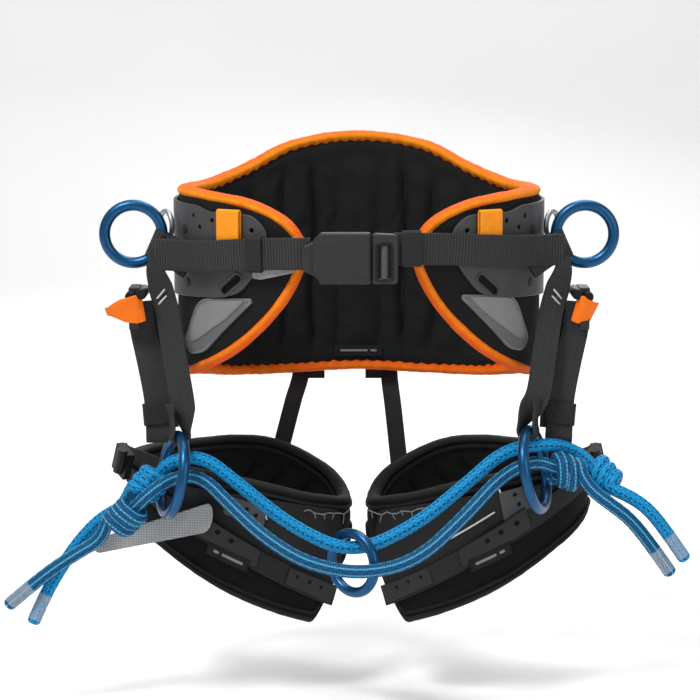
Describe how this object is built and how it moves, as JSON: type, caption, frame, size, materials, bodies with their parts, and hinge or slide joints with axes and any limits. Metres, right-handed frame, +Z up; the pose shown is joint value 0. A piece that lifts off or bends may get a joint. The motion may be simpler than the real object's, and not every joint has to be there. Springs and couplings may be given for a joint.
{
  "type": "tree climbing saddle",
  "caption": "Padded waist belt with side lobes, a front buckle, side rings, adjustable leg loops, and two ropes that hang between bridge rings.",
  "frame": {"origin": "the middle of the wearer's waist, at the height of the front belt", "axes": "+Z up, the wearer faces -Y, +X to the wearer's left"},
  "size_m": [0.6289, 0.2977, 0.45],
  "materials": {
    "shell_fabric": "dark anthracite woven nylon",
    "pad_foam": "closed-cell foam",
    "pad_lining": "black spacer mesh with sewn upright channels",
    "binding_orange": "rolled orange edge binding with overlock stitching",
    "tape_orange": "orange woven tape",
    "plate_plastic": "stiff moulded plate, satin",
    "rivet_metal": "dark rivet heads",
    "patch_plastic": "light grey moulded grip with a raised rim",
    "ring_blue": "blue anodised forged alloy, satin",
    "hanger_metal": "satin steel bar",
    "webbing_black": "black woven webbing with sewn ends",
    "buckle_plastic": "black moulded buckle",
    "buckle_cover": "dark textured cover",
    "bar_metal": "black knurled bar",
    "leg_fabric": "black padded fabric with sewn channels and bound edges",
    "leg_shell_fabric": "dark grey panel with a plain reflective line pattern",
    "tag_woven": "grey open-weave tape",
    "rope_bright": "bright blue braided rope with dark flecks",
    "rope_dark": "teal blue braided rope with pale tracer lines"
  },
  "bodies": {
    "harness": {"adjuster_buckle_l": "buckle_plastic", "adjuster_buckle_r": "buckle_plastic", "adjuster_strap_l": "webbing_black", "adjuster_strap_r": "webbing_black", "belt_l": "webbing_black", "belt_r": "webbing_black", "buckle_cover": "buckle_cover", "buckle_housing": "buckle_plastic", "grip_patch_l": "patch_plastic", "grip_patch_r": "patch_plastic", "hanger_ring_l": "hanger_metal", "hanger_ring_r": "hanger_metal", "knot_lower_l": "rope_dark", "knot_lower_r": "rope_dark", "knot_upper_l": "rope_bright", "knot_upper_r": "rope_bright", "plate_rivets": "rivet_metal", "rear_strap_l": "webbing_black", "rear_strap_r": "webbing_black", "ring_loop_l": "webbing_black", "ring_loop_r": "webbing_black", "riser_strap_l": "webbing_black", "riser_strap_r": "webbing_black", "rope_lower": "rope_dark", "rope_upper": "rope_bright", "side_plate_l": "plate_plastic", "side_plate_r": "plate_plastic", "strap_keepers": "webbing_black", "tail_lower_l": "rope_dark", "tail_lower_r": "rope_dark", "tail_upper_l": "rope_bright", "tail_upper_r": "rope_bright", "tool_loop_l": "tape_orange", "tool_loop_r": "tape_orange", "waist_binding": "binding_orange", "waist_foam": "pad_foam", "waist_lining": "pad_lining", "waist_shell": "shell_fabric"},
    "side_ring_r": {"side_ring_r": "ring_blue"},
    "side_ring_l": {"side_ring_l": "ring_blue"},
    "bridge_ring_r": {"bridge_ring_r": "ring_blue"},
    "bridge_ring_l": {"bridge_ring_l": "ring_blue"},
    "centre_ring": {"centre_ring": "ring_blue"},
    "leg_r": {"leg_pad_r": "leg_fabric", "leg_shell_r": "leg_shell_fabric", "leg_strap_r": "webbing_black", "leg_plate_r": "plate_plastic", "leg_buckle_r": "buckle_plastic", "leg_tag_r": "tag_woven"},
    "leg_l": {"leg_pad_l": "leg_fabric", "leg_shell_l": "leg_shell_fabric", "leg_strap_l": "webbing_black", "leg_plate_l": "plate_plastic", "leg_buckle_l": "buckle_plastic"},
    "leg_roller_r": {"leg_roller_r": "bar_metal"},
    "leg_roller_l": {"leg_roller_l": "bar_metal"},
    "release_tab_r": {"release_tab_r": "tape_orange"},
    "release_tab_l": {"release_tab_l": "tape_orange"},
    "buckle_slide": {"buckle_frame": "buckle_plastic", "buckle_bar": "bar_metal"}
  },
  "joints": [
    {"name": "side_ring_swing_r", "type": "hinge", "parent": "harness", "child": "side_ring_r", "pos_m": [-0.18461, -0.04, 0.00314], "axis": [0.4067, 0, 0.9135], "range_deg": [-12, 62]},
    {"name": "side_ring_swing_l", "type": "hinge", "parent": "harness", "child": "side_ring_l", "pos_m": [0.18461, -0.04, 0.00314], "axis": [-0.4067, 0, 0.9135], "range_deg": [-62, 12]},
    {"name": "bridge_ring_swing_r", "type": "hinge", "parent": "harness", "child": "bridge_ring_r", "pos_m": [-0.16347, -0.10488, -0.16466], "axis": [0.309, -0.9511, 0], "range_deg": [0, 10]},
    {"name": "bridge_ring_swing_l", "type": "hinge", "parent": "harness", "child": "bridge_ring_l", "pos_m": [0.15347, -0.10488, -0.15966], "axis": [-0.309, -0.9511, 0], "range_deg": [-4, 3]},
    {"name": "centre_ring_travel", "type": "hinge", "parent": "harness", "child": "centre_ring", "pos_m": [-0.00611, -0.10825, -0.20749], "axis": [0.0236, 0.9306, -0.3652], "range_deg": [-16, 16]},
    {"name": "leg_swing_r", "type": "hinge", "parent": "harness", "child": "leg_r", "pos_m": [-0.114, 0, -0.09], "axis": [1, 0, 0], "range_deg": [0, 15], "deforming": ["rear_strap_r"]},
    {"name": "leg_swing_l", "type": "hinge", "parent": "harness", "child": "leg_l", "pos_m": [0.114, 0, -0.09], "axis": [1, 0, 0], "range_deg": [0, 15], "deforming": ["rear_strap_l"]},
    {"name": "release_tab_lift_r", "type": "hinge", "parent": "harness", "child": "release_tab_r", "pos_m": [-0.20825, -0.062, -0.041], "axis": [0, 1, 0], "range_deg": [0, 34], "stiffness_Nm_per_rad": 0.05},
    {"name": "release_tab_lift_l", "type": "hinge", "parent": "harness", "child": "release_tab_l", "pos_m": [0.20825, -0.062, -0.041], "axis": [0, -1, 0], "range_deg": [0, 34], "stiffness_Nm_per_rad": 0.05},
    {"name": "belt_buckle_release", "type": "slide", "parent": "harness", "child": "buckle_slide", "axis": [1, 0, 0], "range_m": [0, 0.03], "deforming": ["belt_l"]},
    {"name": "leg_roller_turn_r", "type": "hinge", "parent": "leg_r", "child": "leg_roller_r", "pos_m": [-0.22187, -0.05862, -0.19535], "axis": [0.2333, -0.3332, 0.9135], "continuous": true},
    {"name": "leg_roller_turn_l", "type": "hinge", "parent": "leg_l", "child": "leg_roller_l", "pos_m": [0.22187, -0.05862, -0.19535], "axis": [-0.2333, -0.3332, 0.9135], "continuous": true}
  ]
}
